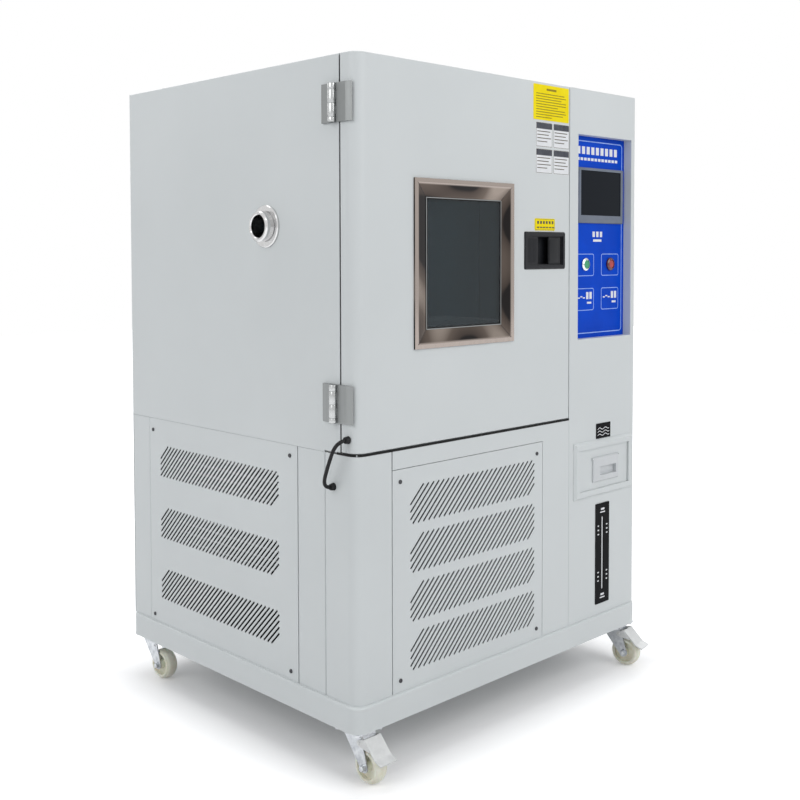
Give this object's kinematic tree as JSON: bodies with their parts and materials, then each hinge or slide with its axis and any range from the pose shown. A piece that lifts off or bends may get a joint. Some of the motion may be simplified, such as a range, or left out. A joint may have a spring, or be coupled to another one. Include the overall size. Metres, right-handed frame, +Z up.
{
  "type": "environmental test chamber",
  "caption": "Floor-standing temperature and humidity test chamber on casters, with a windowed front door, a control column and louvred machine-room panels.",
  "frame": {"origin": "centre of the outline's footprint, on the floor that the casters stand on", "axes": "+X to the right as seen from the front, +Y to the back, +Z up"},
  "size_m": [1.0469, 0.9447, 1.508],
  "materials": {
    "powder_coat": "light grey-white powder coat",
    "foam": "rigid foam",
    "stainless": "satin",
    "zinc": "zinc plated",
    "wheel_nylon": "cream tread and hub",
    "pedal_steel": "white enamel",
    "control_blue": "deep blue, satin",
    "bezel_plastic": "grey, fine grain",
    "screen_glass": "black glass",
    "start_plastic": "green",
    "stop_plastic": "red",
    "collar_metal": "bright",
    "gauge_plastic": "black",
    "port_steel": "turned",
    "hinge_steel": "satin",
    "seal_rubber": "matt black",
    "window_steel": "brushed, mitred",
    "window_glass": "blue-green tint",
    "housing_plastic": "black",
    "paddle_plastic": "black",
    "bolt_steel": "bright zinc",
    "fan_metal": "pressed",
    "motor_paint": "black",
    "coil_fins": "finned",
    "heater_steel": "heat tinted",
    "galvanised": "galvanised sheet",
    "compressor_paint": "gloss black",
    "latch_plastic": "light grey",
    "cable_jacket": "black",
    "shelf_wire": "polished stainless"
  },
  "bodies": {
    "cabinet": {"air_duct_panel": "stainless", "base_frame": "powder_coat", "button_barrels": "collar_metal", "caster_plates": "zinc", "chamber_liner": "stainless", "circulation_motor": "motor_paint", "column_front": "powder_coat", "column_partition": "galvanised", "compressor": "compressor_paint", "condenser_coil": "coil_fins", "condenser_shroud": "galvanised", "control_panel": "control_blue", "cooling_coil": "coil_fins", "door_lead": "cable_jacket", "drawer_frame": "powder_coat", "electrical_plate": "galvanised", "front_grille_panel": "powder_coat", "heater_coil": "heater_steel", "hinge_body_leaves": "hinge_steel", "insulation_block": "foam", "left_grille_panel": "powder_coat", "level_gauge": "gauge_plastic", "lower_front_frame": "powder_coat", "lower_posts": "powder_coat", "machine_deck": "galvanised", "rear_panel": "powder_coat", "right_grille_panel": "powder_coat", "right_side_strip": "powder_coat", "screen_bezel": "bezel_plastic", "screen_glass": "screen_glass", "shelf_rails": "stainless", "test_port": "port_steel", "upper_wrap": "powder_coat", "wire_shelves": "shelf_wire"},
    "door": {"door_shell": "powder_coat", "door_insulation": "foam", "door_liner": "stainless", "door_seals": "seal_rubber", "window_frame": "window_steel", "window_panes": "window_glass", "handle_housing": "housing_plastic", "hinge_door_leaves": "hinge_steel"},
    "handle_paddle": {"handle_paddle": "paddle_plastic"},
    "latch_bolt": {"latch_bolt": "bolt_steel"},
    "start_button": {"start_button": "start_plastic"},
    "stop_button": {"stop_button": "stop_plastic"},
    "water_drawer": {"water_drawer": "powder_coat"},
    "drawer_latch": {"drawer_latch": "latch_plastic"},
    "circulation_fan": {"circulation_fan": "fan_metal"},
    "condenser_fan": {"condenser_fan": "fan_metal"},
    "fork_front_left": {"caster_fork_front_left": "zinc"},
    "wheel_front_left": {"caster_wheel_front_left": "wheel_nylon"},
    "fork_front_right": {"caster_fork_front_right": "zinc"},
    "wheel_front_right": {"caster_wheel_front_right": "wheel_nylon"},
    "fork_rear_left": {"caster_fork_rear_left": "zinc"},
    "wheel_rear_left": {"caster_wheel_rear_left": "wheel_nylon"},
    "fork_rear_right": {"caster_fork_rear_right": "zinc"},
    "wheel_rear_right": {"caster_wheel_rear_right": "wheel_nylon"},
    "brake_front_left": {"caster_brake_front_left": "pedal_steel"},
    "brake_front_right": {"caster_brake_front_right": "pedal_steel"}
  },
  "joints": [
    {"name": "door_hinge", "type": "hinge", "parent": "cabinet", "child": "door", "pos_m": [-0.5005, -0.357, 1.1], "axis": [0, 0, 1], "range_deg": [-115, 0], "deforming": ["door_lead"]},
    {"name": "handle_pull", "type": "hinge", "parent": "door", "child": "handle_paddle", "pos_m": [0.182, -0.4135, 1.106], "axis": [0, 0, 1], "range_deg": [0, 30], "stiffness_Nm_per_rad": 0.6},
    {"name": "bolt_slide", "type": "slide", "parent": "door", "child": "latch_bolt", "axis": [-1, 0, 0], "range_m": [0, 0.011]},
    {"name": "start_press", "type": "slide", "parent": "cabinet", "child": "start_button", "axis": [0, 1, 0], "range_m": [0, 0.003], "stiffness_N_per_m": 400},
    {"name": "stop_press", "type": "slide", "parent": "cabinet", "child": "stop_button", "axis": [0, 1, 0], "range_m": [0, 0.003], "stiffness_N_per_m": 400},
    {"name": "drawer_slide", "type": "slide", "parent": "cabinet", "child": "water_drawer", "axis": [0, -1, 0], "range_m": [0, 0.18]},
    {"name": "drawer_latch_tilt", "type": "hinge", "parent": "water_drawer", "child": "drawer_latch", "pos_m": [0.3705, -0.4243, 0.5745], "axis": [-1, 0, 0], "range_deg": [0, 12], "stiffness_Nm_per_rad": 0.6},
    {"name": "circulation_fan_spin", "type": "hinge", "parent": "cabinet", "child": "circulation_fan", "pos_m": [-0.1355, 0.2015, 1.228], "axis": [0, 1, 0], "continuous": true},
    {"name": "condenser_fan_spin", "type": "hinge", "parent": "cabinet", "child": "condenser_fan", "pos_m": [-0.3915, 0.0315, 0.435], "axis": [1, 0, 0], "continuous": true},
    {"name": "swivel_front_left", "type": "hinge", "parent": "cabinet", "child": "fork_front_left", "pos_m": [-0.4545, -0.3815, 0.1], "axis": [0, 0, 1], "continuous": true},
    {"name": "roll_front_left", "type": "hinge", "parent": "fork_front_left", "child": "wheel_front_left", "pos_m": [-0.4545, -0.4195, 0.0375], "axis": [1, 0, 0], "continuous": true},
    {"name": "brake_front_left_press", "type": "hinge", "parent": "fork_front_left", "child": "brake_front_left", "pos_m": [-0.4545, -0.4075, 0.086], "axis": [1, 0, 0], "range_deg": [0, 5.5]},
    {"name": "swivel_front_right", "type": "hinge", "parent": "cabinet", "child": "fork_front_right", "pos_m": [0.4715, -0.3815, 0.1], "axis": [0, 0, 1], "continuous": true},
    {"name": "roll_front_right", "type": "hinge", "parent": "fork_front_right", "child": "wheel_front_right", "pos_m": [0.4781, -0.41892, 0.0375], "axis": [0.9848, 0.1736, 0], "continuous": true},
    {"name": "brake_front_right_press", "type": "hinge", "parent": "fork_front_right", "child": "brake_front_right", "pos_m": [0.47601, -0.40711, 0.086], "axis": [0.9848, 0.1736, 0], "range_deg": [0, 5.5]},
    {"name": "swivel_rear_left", "type": "hinge", "parent": "cabinet", "child": "fork_rear_left", "pos_m": [-0.4545, 0.4095, 0.1], "axis": [0, 0, 1], "continuous": true},
    {"name": "roll_rear_left", "type": "hinge", "parent": "fork_rear_left", "child": "wheel_rear_left", "pos_m": [-0.45185, 0.37159, 0.0375], "axis": [0.9976, 0.0698, 0], "continuous": true},
    {"name": "swivel_rear_right", "type": "hinge", "parent": "cabinet", "child": "fork_rear_right", "pos_m": [0.4715, 0.4095, 0.1], "axis": [0, 0, 1], "continuous": true},
    {"name": "roll_rear_right", "type": "hinge", "parent": "fork_rear_right", "child": "wheel_rear_right", "pos_m": [0.4715, 0.3715, 0.0375], "axis": [1, 0, 0], "continuous": true}
  ],
  "couplings": [
    {"joint": "bolt_slide", "follows": "handle_pull", "m_per_rad": 0.021}
  ]
}
